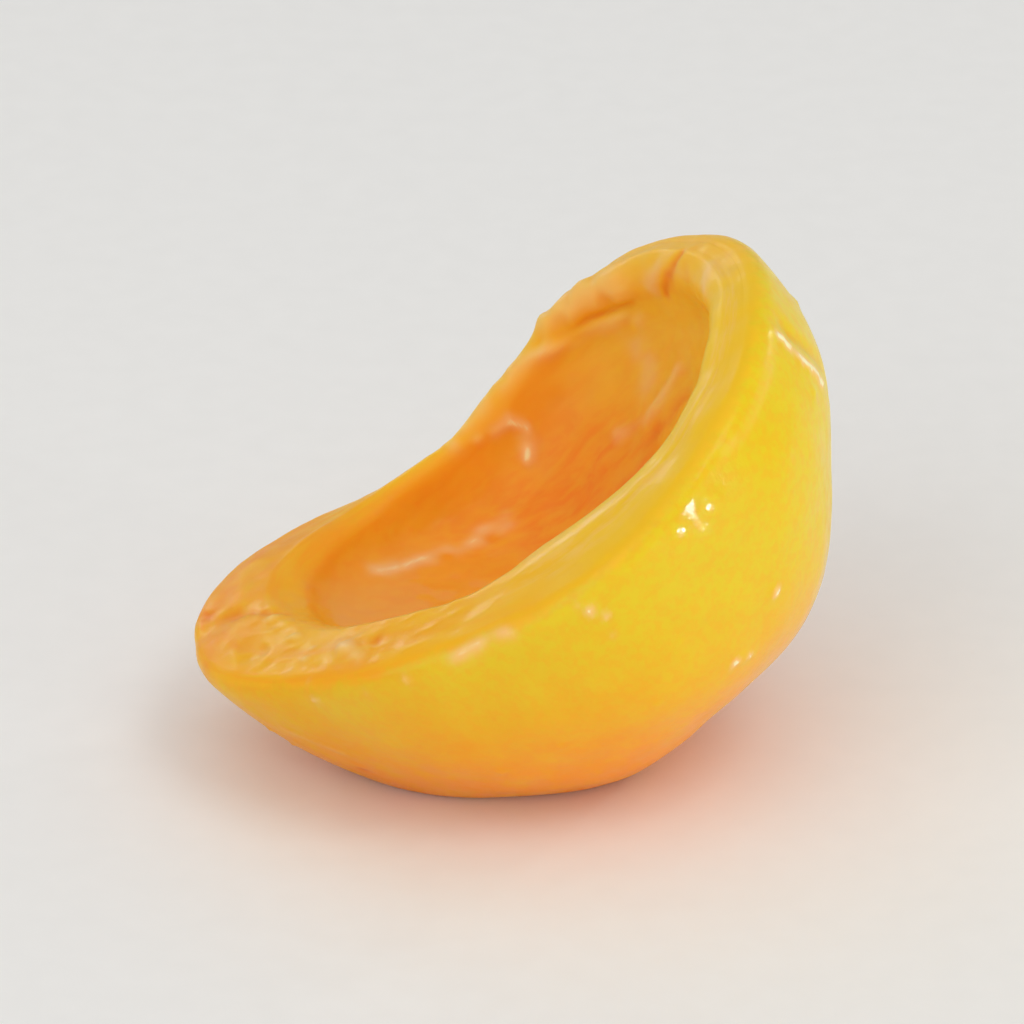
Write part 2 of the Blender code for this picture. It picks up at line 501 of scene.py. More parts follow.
def seams(place):
    """The relief of the seams, and how pale or deep they make the colour."""
    sways = [soft_noise(place, SEAM_WOBBLE_SIZE, seed) for seed in SEAM_WOBBLE_SEEDS]
    swayed = place + SEAM_WOBBLE * np.stack(sways, axis=-1)
    uneven = ramp(SEAM_LEVEL + layers(place, (SEAM_BREAKS,))) * SEAM_GAIN
    relief, tint = np.zeros(place.shape[:-1]), np.zeros(place.shape[:-1])
    for height, width, pale, line in SEAMS:
        near = bell(away_from(swayed, line), width)
        relief = relief + height * near * uneven
        tint = tint + pale * near * uneven
    return relief, np.clip(tint, -1, 1)


def bead_spots(looks):
    """Small beads of syrup, scattered over the upper skin."""
    chance = np.random.default_rng(BEAD_SEED)
    spots = []
    for _ in range(looks.bead_count):
        share = BEAD_SMALLEST + (1 - BEAD_SMALLEST) * chance.random() ** 2
        radius = looks.bead_radius * share
        turn, level = chance.uniform(0, 360), chance.uniform(*BEAD_STATIONS)
        spots.append((turn, level, radius, radius * BEAD_HEIGHT))
    return spots


def skin_relief(station, place, looks):
    """Soft dents and bumps in the skin."""
    skin = 1 - step(station, SKIN_END, CORNER_END)
    return skin * (looks.dent_depth * layers(place, DENTS) + domes(place, station, SKIN_BUMPS))


def grain_place(azimuth, station):
    """Places for the grain of the flesh, which runs round the fruit beside the lip."""
    around = GRAIN_ROUND * np.cos(azimuth), GRAIN_ROUND * np.sin(azimuth)
    return np.stack([*around, GRAIN_INWARD * station], axis=-1)


def torn_share(azimuth, station):
    """1 where the flesh is torn, beside the stem on the full wall, and 0 elsewhere."""
    turn = np.degrees(azimuth)
    around = step(turn, *TORN_RISE) * step(turn, *TORN_FALL)
    return around * step(station, *TORN_STATIONS) * step(station, *TORN_INNER_EDGE)


def torn_free(azimuth):
    """1 along the full wall and round the round end, and 0 at the stem and on the folded wall."""
    turn = np.degrees(azimuth)
    return np.maximum(step(turn, *CLEAN_RISE), step(turn, *CLEAN_FALL))


def flesh_relief(azimuth, station, place, looks):
    """Soft waves, a torn stem end and an uneven lip, worn down on one side and swollen on the other."""
    waves = layers(place, FLESH_WAVES) + layers(grain_place(azimuth, station), GRAIN_WAVES)
    rags = layers(place, RAGS, ridged) - RAG_MIDDLE
    wide = step(flesh_width(azimuth), *WIDE_FLESH)
    clean = torn_free(azimuth)
    relief = looks.fibre_depth * waves
    relief = relief + looks.rag_depth * torn_share(azimuth, station) * rags
    relief = relief + looks.lip_wobble * band(station, *LIP_WAVE_BAND) * layers(place, LIP_WAVES)
    relief = relief - looks.lip_round * wide * band(station, *LIP_WORN_BAND)
    relief = relief + looks.lip_ridge * wide * clean * band(station, *LIP_RIDGE_BAND)
    relief = relief + looks.lip_swell * clean * band(station, *LIP_SWELL_BAND)
    return step(station, *FLESH_RISE) * relief


def hollow_relief(station, place, looks):
    """The marks of the stone: soft pits and strands, and the vein along the middle of its bed."""
    side = place[..., 1] - VEIN_SWAY * np.sin(place[..., 0] * VEIN_TURNS)
    vein = VEIN_SHARE * bell(side, VEIN_WIDTH) * step(station, *VEIN_RISE)
    marks = layers(place, STONE_PITS)
    for weight, squeeze, size, seed in STONE_STRANDS:
        marks = marks + weight * soft_noise(place * (squeeze, 1.0, 1.0), size, seed)
    return looks.stone_mark_depth * (vein + step(station, *HOLLOW_RISE) * marks)


def surface_normals(points):
    """Unit normals of a closed grid whose rows are rings, looking out of the fruit."""
    around = np.roll(points, -1, axis=1) - np.roll(points, 1, axis=1)
    along = np.gradient(points, axis=0)
    normals = np.cross(around, along)
    length = np.maximum(np.linalg.norm(normals, axis=-1, keepdims=True), 1e-15)
    normals = normals / length
    normals[0] = normals[1].mean(axis=0)
    normals[-1] = normals[-2].mean(axis=0)
    normals[0] /= np.linalg.norm(normals[0, 0])
    normals[-1] /= np.linalg.norm(normals[-1, 0])
    return normals if normals[0, 0, 2] < 0 else -normals


def soft_normals(points, reach):
    """Normals averaged over a reach along each slice, so that relief folds no corner over itself."""
    steps = np.linalg.norm(np.diff(points, axis=0), axis=-1)
    run = np.concatenate([np.zeros((1, points.shape[1])), np.cumsum(steps, axis=0)])
    weight = bell(run[:, None] - run[None], reach) * np.gradient(run, axis=0)[None]
    soft = np.einsum("ijk,jkc->ikc", weight, surface_normals(points))
    return soft / np.linalg.norm(soft, axis=-1, keepdims=True)


class FruitSurface:
    """The whole fine surface of the half, on its own axes and as it lies."""

    def __init__(self, looks):
        turns = np.arange(SLICES) * 2 * math.pi / SLICES
        self.azimuth, self.station = np.meshgrid(turns, ring_stations())
        plain = fruit_points(self.azimuth, self.station)
        marks, self.tint = seams(plain)
        beads = domes(plain, self.station, bead_spots(looks))
        relief = skin_relief(self.station, plain, looks)
        relief = relief + flesh_relief(self.azimuth, self.station, plain, looks)
        relief = relief + hollow_relief(self.station, plain, looks) + marks + beads
        self.own = plain + soft_normals(plain, NORMAL_REACH) * relief[..., None]
        self.laid = lay_down(self.own, like=plain)
        self.syrup = step(beads, 0.0, BEAD_EDGE)
        self.pool = np.zeros_like(self.station)

    def fill(self, level, creep):
        """Lets syrup stand in the hollow up to a level, with an edge that climbs the wall."""
        height = self.laid[..., 2]
        filled = level + creep * np.logaddexp(0, (height - level) / creep)
        risen = (filled - height) * step(self.station, *POOL_START)
        self.pool = step(risen, POOL_FILM, creep)
        self.syrup = np.maximum(self.syrup, self.pool)
        self.laid[..., 2] = height + risen


def grid_faces(rings, slices):
    """Faces of a closed surface with one vertex at each end and rings of vertices between them."""
    last = 1 + (rings - 2) * slices
    faces = []
    for j in range(slices):
        faces.append((0, 1 + (j + 1) % slices, 1 + j))
    for i in range(rings - 3):
        row = 1 + i * slices
        for j in range(slices):
            k = (j + 1) % slices
            faces.append((row + j, row + k, row + slices + k, row + slices + j))
    row = 1 + (rings - 3) * slices
    for j in range(slices):
        faces.append((row + j, row + (j + 1) % slices, last))
    return faces


def closed_rows(values):
    """The rows of a grid with its first and last row taken as one vertex each."""
    flat = values[1:-1].reshape(-1, *values.shape[2:])
    return np.concatenate([values[:1, 0], flat, values[-1:, 0]])


def new_piece(name, points, faces, material, kept):
    """A smooth mesh object that rides on the fruit. kept holds what its material reads, by name."""
    mesh = bpy.data.meshes.new(name)
    mesh.from_pydata(points.tolist(), [], faces)
    for label, values in kept.items():
        kind, field = ("FLOAT", "value") if values.ndim == 1 else ("FLOAT_VECTOR", "vector")
        made = mesh.attributes.new(label, kind, "POINT")
        made.data.foreach_set(field, values.astype(np.float32).ravel())
    mesh.polygons.foreach_set("use_smooth", [True] * len(mesh.polygons))
    mesh.materials.append(material)
    mesh.update()
    piece = bpy.data.objects.new(name, mesh)
    bpy.context.scene.collection.objects.link(piece)
    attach(piece, BODY)
    return piece


# ---------------------------------------------------------------- materials

# The noises of the materials: size in millimetres (or steps of the grain), detail, roughness and,
# where there is any, distortion.
SKIN_DRIFT = (8.0, 3.0, 0.55)
SKIN_PATCHES = (3.2, 3.0, 0.6)
SKIN_MOTTLE = (0.75, 2.0, 0.6)
GRAIN_STREAKS = (2.2, 3.0, 0.6, 0.3)
GRAIN_FIBRES = (0.8, 2.0, 0.6)
FLESH_CLOUDS = (4.0, 3.0, 0.6)
HOLLOW_STRANDS = (1.5, 3.0, 0.6, 0.4)
CUT_WOBBLE = (2.4, 3.0, 0.6)
PEEL_GRAIN = (0.34, 1.5, 0.45)
LIP_THREADS = (1.2, 1.5, 0.5, 0.3)
TORN_PULP = (0.42, 3.0, 0.65, 0.4)
DULL_PATCHES = (1.6, 3.0, 0.6)
FILM_PATCHES = (1.3, 2.0, 0.5)

# The skin: where each colour sets in and, as the last two numbers, the shares that it goes between.
# The orange blush low on the fruit and on the folded side is partly real blush and partly painted
# shade.
BLUSH_AND_SHADE_DRIFT = 4.5
BLUSH_AND_SHADE_TILT = -0.13
BLUSH_AND_SHADE_LEVELS = (5.0, 22.5)
BLUSH_AND_SHADE_SIDE = (16.0, -2.0, 0.55, 1.0)
LIGHT_PATCHES = (0.42, 0.72, 0.0, 0.20)
MOTTLE_SHARE = (0.35, 0.7, 0.0, 0.20)
SPECK_CELL = 4.2
SPECK_RARITY = 0.78
SPECK_STRENGTH = 0.7
SPECK_EDGE = (0.060, 0.025)

# The flesh, in the same way: places are millimetres on the fruit's own axes or stations, and
# streaks, strands, clouds and fibres are levels of their noise.
STRAND_SQUEEZE = (0.3, 1.0, 1.0)
CLOUD_ALONG = 8.0
CLOUD_ACROSS = 6.0
INWARD_DRIFT = 0.05
LIGHT_STREAKS = (0.35, 0.68, 0.0, 0.45)
LIGHT_ALONG = (-12.0, 12.0)
FOLDED_ACROSS = (-1.0, 11.0)
FOLDED_ALONG = (-12.0, 4.0)
DEEP_STRANDS = (0.36, 0.66)
HOLLOW_CLOUDS = (0.50, 0.78, 0.0, 0.55)
# The hollow turns deeper orange toward its bottom, partly the colour of the stone's bed and partly
# painted shade.
HOLLOW_START = (0.735, 0.830, 0.0, 0.35)
HOLLOW_MIDDLE = (0.81, 0.97, 0.0, 0.65)
# Painted light: the wall just under the lip, toward the round end, is made pale where it lies in shade.
END_LEAN = 0.25
PALE_END = (6.0, 14.0, 0.0, 0.38)
PALE_SIDE = (-8.0, 3.0)
PALE_START = (0.75, 0.82)
PALE_STOP = (1.04, 0.95)
PALE_FIBRES = (0.30, 0.65, 0.75, 1.0)
# Painted sheen: the milky streaks along the lip stand in for the reflection on the wet lip.
MILKY_SHEEN_START = (0.645, 0.680)
MILKY_SHEEN_STOP = (0.725, 0.695)
MILKY_SHEEN_FIBRES = (0.38, 0.62, 0.10, 0.50)

# The surface as a whole: the edge of the cut, marks, finest grain, dullness and film of syrup.
CUT_SWAY = 0.08
CUT_EDGE = (0.525, 0.560)
POOL_SHARE = 0.6
# Painted glints: the palest marks turn cream white.
GLINT_MARKS = (0.62, 1.00, 0.0, 0.9)
PEEL_LEVELS = (1.0, 9.0, 0.2, 1.0)
THREAD_EDGE = (0.71, 0.66, 0.0, 0.35)
PULP_HEIGHT = 1.2
DULLNESS = (0.3, 0.75, 0.30, 0.46)
BASE_BUMP = 0.35
FILM_BUMP = 0.8
CUT_FILM = (0.40, 0.65, 0.04, 0.24)
FILM_ON_DEEP_MARKS = (-0.30, 0.0, 0.2, 1.0)
SYRUP_FILM = 0.70
SKIN_FILM = (2.0, 13.0, 0.20, 0.62)
FILM_AT_ROUND_END = (10.5, 17.0, 1.0, 0.40)
FILM_AT_STEM_END = (-24.0, -17.0, 0.3, 1.0)
FILM_ON_FOLDED_SIDE = (5.0, 13.0, 1.0, 0.45)

# The same all over the fruit: a weak gloss of its own, thin syrup, and light that travels in it.
EVEN_SURFACE = {
    "Specular IOR Level": 0.10,
    "Coat Roughness": 0.05,
    "Coat IOR": 1.37,
    "Subsurface Weight": 1.0,
    "Subsurface Radius": (0.50, 0.46, 0.26),
}

FLOOR_GRAIN = {"Scale": 400.0, "Detail": 3.0}
FLOOR_WORN = 0.97
FLOOR_DULLNESS = (0.3, 0.7, 0.55, 0.7)
FLOOR_GLOSS = 0.25


class NodeBench:
    """A new material and short ways to add nodes to it."""

    def __init__(self, name):
        self.material = bpy.data.materials.new(name)
        self.material.use_nodes = True
        self.tree = self.material.node_tree
        self.surface = self.tree.nodes["Principled BSDF"].inputs

    def add(self, kind, inputs=(), **settings):
        made = self.tree.nodes.new("ShaderNode" + kind)
        for name, value in settings.items():
            setattr(made, name, value)
        for socket, value in dict(inputs).items():
            self.put(made.inputs[socket], value)
        return made

    def put(self, socket, value):
        if isinstance(value, bpy.types.NodeSocket):
            self.tree.links.new(value, socket)
        else:
            socket.default_value = value

    def maths(self, operation, first, second):
        return self.add("Math", {0: first, 1: second}, operation=operation).outputs[0]

    def product(self, value, *others):
        for other in others:
            value = self.maths("MULTIPLY", value, other)
        return value

    def total(self, value, *others):
        for other in others:
            value = self.maths("ADD", value, other)
        return value

    def stretch(self, value, start, end, low=0.0, high=1.0):
        """value brought smoothly from start..end to low..high."""
        inputs = {"Value": value, "From Min": start, "From Max": end, "To Min": low, "To Max": high}
        return self.add("MapRange", inputs, interpolation_type="SMOOTHSTEP").outputs["Result"]

    def mix(self, share, first, second):
        made = self.add("Mix", {"Factor": share}, data_type="RGBA")
        self.put(made.inputs[6], first)
        self.put(made.inputs[7], second)
        return made.outputs[2]

    def noise(self, place, size, detail, roughness, distortion=0.0):
        """Noise from 0 to 1 whose features are about so many millimetres in size."""
        inputs = {"Vector": place, "Scale": 1 / size, "Detail": detail}
        inputs.update({"Roughness": roughness, "Distortion": distortion})
        return self.add("TexNoise", inputs).outputs["Fac"]

    def scaled(self, place, factors):
        return self.add("VectorMath", {0: place, 1: factors}, operation="MULTIPLY").outputs[0]

    def bump(self, height, depth):
        return self.add("Bump", {"Height": height, "Distance": depth}).outputs["Normal"]

    def kept(self, name, output="Fac"):
        """A value that the mesh keeps at each of its points."""
        return self.add("Attribute", attribute_name=name).outputs[output]

    def place(self):
        """The place on the fruit's own axes, in millimetres."""
        return self.scaled(self.kept("fruit_place", "Vector"), (1000, 1000, 1000))

    def parts(self, place):
        return self.add("SeparateXYZ", {0: place}).outputs

    def level(self):
        """The height over the floor, in millimetres."""
        return self.product(self.parts(self.add("TexCoord").outputs["Object"])["Z"], 1000)


def skin_colour(bench, place, looks):
    """Yellow skin with fine mottling and an orange blush low down and on the folded side; there the
    blush is partly painted shade.
    """
    side = bench.parts(place)
    drift = bench.product(bench.noise(place, *SKIN_DRIFT), BLUSH_AND_SHADE_DRIFT)
    level = bench.total(bench.level(), drift, bench.product(side["X"], BLUSH_AND_SHADE_TILT))
    lit = bench.product(bench.stretch(level, *BLUSH_AND_SHADE_LEVELS), bench.stretch(side["Y"], *BLUSH_AND_SHADE_SIDE))
    colour = bench.mix(lit, looks.blush_and_shade_colour, looks.skin_colour)
    patchy = bench.stretch(bench.noise(place, *SKIN_PATCHES), *LIGHT_PATCHES)
    colour = bench.mix(patchy, colour, looks.skin_light_colour)
    mottled = bench.stretch(bench.noise(place, *SKIN_MOTTLE), *MOTTLE_SHARE)
    return bench.mix(mottled, colour, looks.blush_and_shade_colour)


def speckled(bench, place, colour, speck_colour):
    """A few small brown specks, one in some cells of a loose pattern."""
    cells = bench.add("TexVoronoi", {"Vector": place, "Scale": 1 / SPECK_CELL}, feature="F1")
    chosen = bench.add("SeparateColor", {0: cells.outputs["Color"]}).outputs[0]
    some = bench.product(bench.maths("GREATER_THAN", chosen, SPECK_RARITY), SPECK_STRENGTH)
    near = bench.stretch(cells.outputs["Distance"], *SPECK_EDGE)
    return bench.mix(bench.product(some, near), colour, speck_colour)


def face_colour(bench, streak, along, across, looks):
    """The cut face: light fibres on orange, light at the round end and paler on the folded wall."""
    colour = bench.mix(bench.stretch(streak, *LIGHT_STREAKS), looks.cut_colour, looks.cut_light_colour)
    colour = bench.mix(bench.stretch(along, *LIGHT_ALONG), colour, looks.cut_light_colour)
    folded = bench.product(bench.stretch(across, *FOLDED_ACROSS), bench.stretch(along, *FOLDED_ALONG))
    return bench.mix(folded, colour, looks.folded_colour)


def hollow_colour(bench, place, cloud, looks):
    """The hollow: strands of two oranges, with lighter clouds."""
    strand = bench.noise(bench.scaled(place, STRAND_SQUEEZE), *HOLLOW_STRANDS)
    share = bench.stretch(strand, *DEEP_STRANDS)
    colour = bench.mix(share, looks.hollow_deep_colour, looks.hollow_colour)
    return bench.mix(bench.stretch(cloud, *HOLLOW_CLOUDS), colour, looks.cut_colour)


def flesh_colour(bench, place, grain, station, looks):
    """Fibrous flesh: milky along the lip as a painted sheen, pale under it at the round end as painted
    light in its shade, and orange in the hollow, deeper toward the bottom partly as painted shade.
    """
    streak = bench.noise(grain, *GRAIN_STREAKS)
    fibres = bench.noise(grain, *GRAIN_FIBRES)
    cloud = bench.noise(place, *FLESH_CLOUDS)
    side = bench.parts(place)
    along = bench.total(side["X"], bench.product(cloud, CLOUD_ALONG))
    across = bench.total(side["Y"], bench.product(cloud, CLOUD_ACROSS))
    drift = bench.product(bench.total(cloud, streak), INWARD_DRIFT)
    inward = bench.total(station, drift)
    inside = bench.total(bench.stretch(inward, *HOLLOW_START), bench.stretch(inward, *HOLLOW_MIDDLE))
    face = face_colour(bench, streak, along, across, looks)
    colour = bench.mix(inside, face, hollow_colour(bench, place, cloud, looks))
    toward_end = bench.total(side["X"], bench.product(side["Y"], END_LEAN))
    pale = bench.product(
        bench.stretch(toward_end, *PALE_END),
        bench.stretch(side["Y"], *PALE_SIDE),
        bench.stretch(inward, *PALE_START),
        bench.stretch(inward, *PALE_STOP),
        bench.stretch(fibres, *PALE_FIBRES),
    )
    colour = bench.mix(pale, colour, looks.under_lip_painted_light_colour)
    milky_sheen = bench.product(
        bench.stretch(inward, *MILKY_SHEEN_START),
        bench.stretch(inward, *MILKY_SHEEN_STOP),
        bench.kept("lip"),
        bench.stretch(fibres, *MILKY_SHEEN_FIBRES),
    )
    return bench.mix(milky_sheen, colour, looks.milky_sheen_colour)


def marked(bench, colour, tint, looks):
    """Pale marks that are mostly painted highlight, deep creases that are partly painted shade, and a
    painted glint where a mark is palest.
    """
    colour = bench.mix(bench.maths("MAXIMUM", tint, 0.0), colour, looks.pale_mark_and_highlight_colour)
    deep = bench.product(bench.maths("MINIMUM", tint, 0.0), -1.0)
    colour = bench.mix(deep, colour, looks.deep_flesh_and_shade_colour)
    return bench.mix(bench.stretch(tint, *GLINT_MARKS), colour, looks.painted_glint_colour)


def finest_grain(bench, place, grain, station, uncut, cut, syrup):
    """The height of the peel's grain, the threads by the lip and the pulp, where no syrup lies."""
    clear = bench.product(uncut, bench.stretch(bench.level(), *PEEL_LEVELS))
    peel = bench.product(bench.noise(place, *PEEL_GRAIN), clear)
    near_lip = bench.product(cut, bench.stretch(station, *THREAD_EDGE))
    threads = bench.product(bench.noise(grain, *LIP_THREADS), near_lip)
    pulp = bench.product(bench.noise(place, *TORN_PULP), bench.kept("torn"), PULP_HEIGHT)
    return bench.product(bench.total(peel, threads, pulp), bench.maths("SUBTRACT", 1.0, syrup))


def syrup_film(bench, place, tint, uncut, cut, syrup):
    """The film of syrup: patchy on the cut, thin low down, at the ends and on the folded side."""
    patchy = bench.stretch(bench.noise(place, *FILM_PATCHES), *CUT_FILM)
    patchy = bench.product(patchy, bench.stretch(tint, *FILM_ON_DEEP_MARKS))
    wet = bench.maths("MAXIMUM", patchy, bench.product(syrup, SYRUP_FILM))
    drained = bench.product(uncut, bench.stretch(bench.level(), *SKIN_FILM))
    side = bench.parts(place)
    return bench.product(
        bench.total(bench.product(wet, cut), drained),
        bench.stretch(side["X"], *FILM_AT_ROUND_END),
        bench.stretch(side["X"], *FILM_AT_STEM_END),
        bench.stretch(side["Y"], *FILM_ON_FOLDED_SIDE),
    )


def apricot_material(looks):
    bench = NodeBench("poached_apricot")
    place, station = bench.place(), bench.kept("station")
    grain = bench.kept("grain_place", "Vector")
    syrup, tint = bench.kept("syrup"), bench.kept("tint")
    wobble = bench.product(bench.maths("SUBTRACT", bench.noise(place, *CUT_WOBBLE), 0.5), CUT_SWAY)
    cut = bench.stretch(bench.total(station, wobble), *CUT_EDGE)
    uncut = bench.maths("SUBTRACT", 1.0, cut)
    skin = speckled(bench, place, skin_colour(bench, place, looks), looks.speck_colour)
    colour = bench.mix(cut, skin, flesh_colour(bench, place, grain, station, looks))
    colour = bench.mix(bench.product(bench.kept("pool"), POOL_SHARE), colour, looks.syrup_colour)
    height = finest_grain(bench, place, grain, station, uncut, cut, syrup)
    bench.put(bench.surface["Base Color"], marked(bench, colour, tint, looks))
    bench.put(bench.surface["Roughness"], bench.stretch(bench.noise(place, *DULL_PATCHES), *DULLNESS))
    bench.put(bench.surface["Normal"], bench.bump(height, looks.peel_depth * BASE_BUMP))
    bench.put(bench.surface["Coat Normal"], bench.bump(height, looks.peel_depth * FILM_BUMP))
    bench.put(bench.surface["Coat Weight"], syrup_film(bench, place, tint, uncut, cut, syrup))
    bench.put(bench.surface["Subsurface Scale"], looks.soft_depth)
    for name, value in EVEN_SURFACE.items():
        bench.put(bench.surface[name], value)
    return bench.material


def floor_material(stage):
    bench = NodeBench("pale_floor")
    place = bench.add("TexCoord").outputs["Object"]
    grain = bench.add("TexNoise", {"Vector": place, **FLOOR_GRAIN}).outputs["Fac"]
    worn = (*(share * FLOOR_WORN for share in stage.floor_colour[:3]), 1.0)
    bench.put(bench.surface["Base Color"], bench.mix(grain, worn, stage.floor_colour))
    bench.put(bench.surface["Roughness"], bench.stretch(grain, *FLOOR_DULLNESS))
    bench.put(bench.surface["Specular IOR Level"], FLOOR_GLOSS)
    return bench.material


# ---------------------------------------------------------------- settings

def colour_setting(name, description, default):
    return bpy.props.FloatVectorProperty(
        name=name, description=description, default=default, subtype="COLOR", size=4, min=0.0, max=1.0
    )


def length_setting(name, description, default):
    return bpy.props.FloatProperty(
        name=name,
        description=description,
        default=default,
        subtype="DISTANCE",
        unit="LENGTH",
        precision=5,
    )


class ApricotFleshSettings(bpy.types.PropertyGroup):
    skin_colour: colour_setting("Skin", "Colour of the skin near the cut", (0.79, 0.585, 0.012, 1.0))
    skin_light_colour: colour_setting(
        "Light skin", "Colour of the palest patches of skin", (0.80, 0.65, 0.018, 1.0)
    )
    # The blush also serves as painted shade low on the fruit and on the folded side.
    blush_and_shade_colour: colour_setting(
        "Blush", "Colour of the skin low on the fruit", (0.93, 0.27, 0.006, 1.0)
    )
    speck_colour: colour_setting(
        "Specks", "Colour of the small specks in the skin", (0.38, 0.11, 0.015, 1.0)
    )
    cut_colour: colour_setting("Cut flesh", "Colour of the cut face", (0.95, 0.40, 0.018, 1.0))
    cut_light_colour: colour_setting(
        "Light cut flesh", "Colour of the pale fibres", (0.89, 0.55, 0.018, 1.0)
    )
    hollow_colour: colour_setting("Hollow", "Colour of the stone hollow", (0.94, 0.37, 0.030, 1.0))
    hollow_deep_colour: colour_setting(
        "Deep hollow", "Darker streaks of the hollow", (0.93, 0.26, 0.022, 1.0)
    )
    folded_colour: colour_setting(
        "Folded wall", "Colour of the cut face on the folded wall", (0.95, 0.50, 0.036, 1.0)
    )
    # Painted light: a pale colour for the shaded wall just inside the hollow.
    under_lip_painted_light_colour: colour_setting(
        "Under the lip", "Colour of the wall just inside the hollow", (0.98, 0.72, 0.055, 1.0)
    )
    # Painted sheen: pale streaks that stand in for the reflection on the wet lip.
    milky_sheen_colour: colour_setting(
        "Milky lip", "Colour of the wet pale streaks on the lip", (0.95, 0.57, 0.16, 1.0)
    )
    # Mostly painted highlight and reflection on wet ridges, clots and edges.
    pale_mark_and_highlight_colour: colour_setting(
        "Pale marks", "Colour of the pale ridges and clots", (0.96, 0.57, 0.27, 1.0)
    )
    # Partly the colour of deeper flesh, partly painted shade in creases.
    deep_flesh_and_shade_colour: colour_setting(
        "Creases", "Colour of the creases and small tears", (0.80, 0.12, 0.012, 1.0)
    )
    # Painted glint: the cream white of the palest marks, as along the suture and in the small flecks.
    painted_glint_colour: colour_setting(
        "Skin edge", "Colour of the lifted edge of the skin", (0.98, 0.89, 0.52, 1.0)
    )
    syrup_colour: colour_setting("Syrup", "Colour of the syrup in the hollow", (0.92, 0.37, 0.028, 1.0))
    syrup_level: length_setting(
        "Syrup level", "Height of the syrup in the hollow over the floor", 0.0092
    )
    syrup_creep: length_setting(
        "Syrup edge", "How far the syrup climbs the wall of the hollow", 0.00120
    )
    dent_depth: length_setting("Dents", "Depth of the dents in the skin", 0.00014)
    fibre_depth: length_setting("Fibres", "Depth of the fibres of the cut flesh", 0.00005)
    rag_depth: length_setting("Rags", "Depth of the torn flesh at the stem end", 0.00018)
    lip_wobble: length_setting("Lip", "Unevenness of the lip of the hollow", 0.00026)
    lip_round: length_setting("Lip rounding", "How far the lip of the hollow is worn down", 0.00038)
    lip_swell: length_setting(
        "Lip swelling", "How far the lip of the full wall swells into the hollow", 0.00034
    )
    lip_ridge: length_setting("Lip ridge", "Height of the milky ridge along the lip", 0.00014)
    bead_count: bpy.props.IntProperty(
        name="Beads", description="Beads of syrup on the skin", default=16, min=0
    )
    bead_radius: length_setting("Bead radius", "Radius of the largest beads", 0.00065)
    stone_mark_depth: length_setting("Stone marks", "Height of the ridges that the stone left", 0.00032)
    peel_depth: length_setting("Peel", "Depth of the finest grain of the surface", 0.000042)
    soft_depth: length_setting("Softness", "How far light travels in the flesh", 0.0024)


class ApricotStageSettings(bpy.types.PropertyGroup):
    floor_colour: colour_setting("Floor", "Colour of the floor", (0.93, 0.93, 0.92, 1.0))
    surround_strength: bpy.props.FloatProperty(
        name="Surround", description="Brightness of the pale surround", default=0.50, min=0.0
    )
    view_height: bpy.props.FloatProperty(
        name="View height",
        description="Angle of the camera over the floor",
        default=math.radians(27.5),
        subtype="ANGLE",
    )
    view_distance: length_setting("View distance", "Distance of the camera from the fruit", 0.49)
    lens: bpy.props.FloatProperty(
        name="Lens", description="Focal length in millimetres", default=250.0, min=1.0
    )


# ---------------------------------------------------------------- pieces

class MESH_OT_apricot_flesh(bpy.types.Operator):
    """Makes the fruit itself: skin, cut face and stone hollow in one closed surface"""

    bl_idname = "mesh.apricot_flesh_add"
    bl_label = "Apricot Flesh"

    def execute(self, context):
        looks = context.scene.apricot_flesh
        surface = FruitSurface(looks)
        surface.fill(looks.syrup_level, looks.syrup_creep)
        kept = {
            "station": closed_rows(surface.station),
            "syrup": closed_rows(surface.syrup),
            "pool": closed_rows(surface.pool),
            "tint": closed_rows(surface.tint),
            "lip": closed_rows(torn_free(surface.azimuth)),
            "torn": closed_rows(torn_share(surface.azimuth, surface.station)),
            "fruit_place": closed_rows(surface.own),
            "grain_place": closed_rows(grain_place(surface.azimuth, surface.station)),
        }
        faces = grid_faces(*surface.station.shape)
        points = closed_rows(surface.laid)
        piece = new_piece("apricot_flesh", points, faces, apricot_material(looks), kept)
        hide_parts(NODE)
        return {"FINISHED"}


# ---------------------------------------------------------------- stage

def aim(thing, target):
    thing.rotation_euler = (Vector(target) - thing.location).to_track_quat("-Z", "Y").to_euler()


def soft_box(name, turn, height, distance, width, power, colour, target):
    """A square lamp at so many degrees right of the camera and over the floor."""
    lamp = bpy.data.lights.new(name, "AREA")
    lamp.shape = "SQUARE"
    lamp.size = width
    lamp.energy = power
    lamp.color = colour
    thing = bpy.data.objects.new(name, lamp)
    turn, height = math.radians(turn), math.radians(height)
    across, back = math.sin(turn) * math.cos(height), -math.cos(turn) * math.cos(height)
    thing.location = Vector(target) + Vector((across, back, math.sin(height))) * distance
    thing.visible_camera = False
    aim(thing, target)
    bpy.context.scene.collection.objects.link(thing)


def add_floor(context, stage):
    mesh = bpy.data.meshes.new("floor")
    reach, low = FLOOR_REACH, CAD_LOW.z - FLOOR_GAP
    corners = [(-reach, -reach, low), (reach, -reach, low), (reach, reach, low), (-reach, reach, low)]
    mesh.from_pydata(corners, [], [(0, 1, 2, 3)])
    mesh.materials.append(floor_material(stage))
    floor = bpy.data.objects.new("floor", mesh)
    context.scene.collection.objects.link(floor)


def add_surround(context, stage):
    world = bpy.data.worlds.new("pale_surround")
    world.use_nodes = True
    sky = world.node_tree.nodes["Background"]
    sky.inputs["Color"].default_value = SURROUND_COLOUR
    sky.inputs["Strength"].default_value = stage.surround_strength
    context.scene.world = world


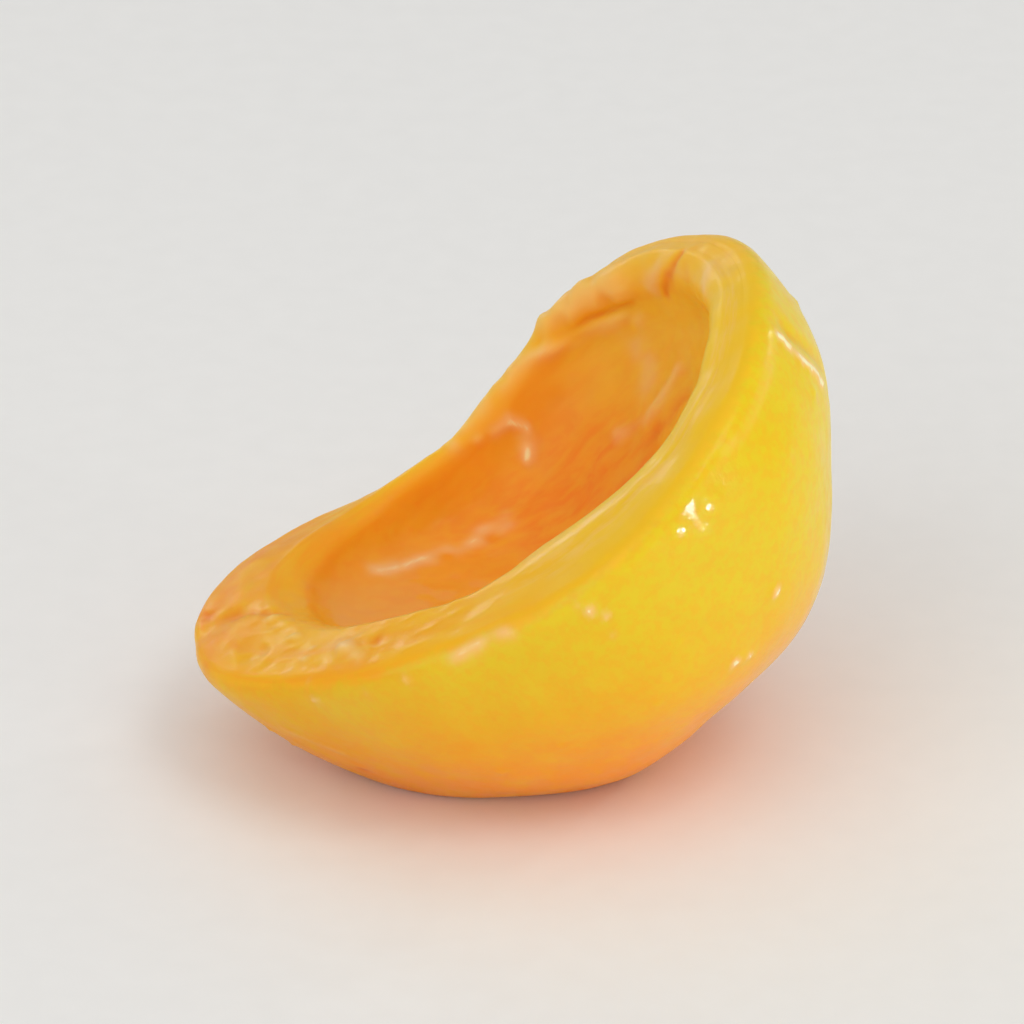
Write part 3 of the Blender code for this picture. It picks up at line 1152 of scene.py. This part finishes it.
def add_camera(context, stage, middle):
    lens = bpy.data.cameras.new("camera")
    lens.lens = stage.lens
    lens.sensor_width = SENSOR_WIDTH
    lens.clip_start = NEAREST_SEEN
    lens.clip_end = FARTHEST_SEEN
    camera = bpy.data.objects.new("camera", lens)
    away = Vector((0, -math.cos(stage.view_height), math.sin(stage.view_height)))
    camera.location = middle + away * stage.view_distance
    aim(camera, middle)
    context.scene.collection.objects.link(camera)
    context.scene.camera = camera


class SCENE_OT_apricot_stage(bpy.types.Operator):
    """Sets the floor, the lamps, the pale surround and the camera"""

    bl_idname = "scene.apricot_stage_add"
    bl_label = "Studio Stage"

    def execute(self, context):
        stage = context.scene.apricot_stage
        middle = (CAD_LOW + CAD_HIGH) / 2
        add_floor(context, stage)
        for lamp in LAMPS:
            soft_box(*lamp, middle)
        add_surround(context, stage)
        add_camera(context, stage, middle)
        context.scene.view_settings.view_transform = "Standard"
        return {"FINISHED"}


class VIEW3D_PT_apricot(bpy.types.Panel):
    """Lists the pieces of the apricot half and their settings"""

    bl_label = "Apricot Half"
    bl_space_type = "VIEW_3D"
    bl_region_type = "UI"
    bl_category = "Apricot"

    def draw(self, context):
        groups = (
            (context.scene.apricot_flesh, (MESH_OT_apricot_flesh,)),
            (context.scene.apricot_stage, (SCENE_OT_apricot_stage,)),
        )
        for settings, makers in groups:
            box = self.layout.box()
            for name in settings.__annotations__:
                box.prop(settings, name)
            for maker in makers:
                box.operator(maker.bl_idname)


SETTINGS = {
    "apricot_flesh": ApricotFleshSettings,
    "apricot_stage": ApricotStageSettings,
}
CLASSES = (
    *SETTINGS.values(),
    MESH_OT_apricot_flesh,
    SCENE_OT_apricot_stage,
    VIEW3D_PT_apricot,
)


def register():
    for made in CLASSES:
        bpy.utils.register_class(made)
    for name, group in SETTINGS.items():
        setattr(bpy.types.Scene, name, bpy.props.PointerProperty(type=group))


def unregister():
    for name in SETTINGS:
        delattr(bpy.types.Scene, name)
    for made in reversed(CLASSES):
        bpy.utils.unregister_class(made)


def main():
    register()
    bpy.ops.mesh.apricot_flesh_add()
    bpy.ops.scene.apricot_stage_add()


if __name__ == "__main__":
    main()
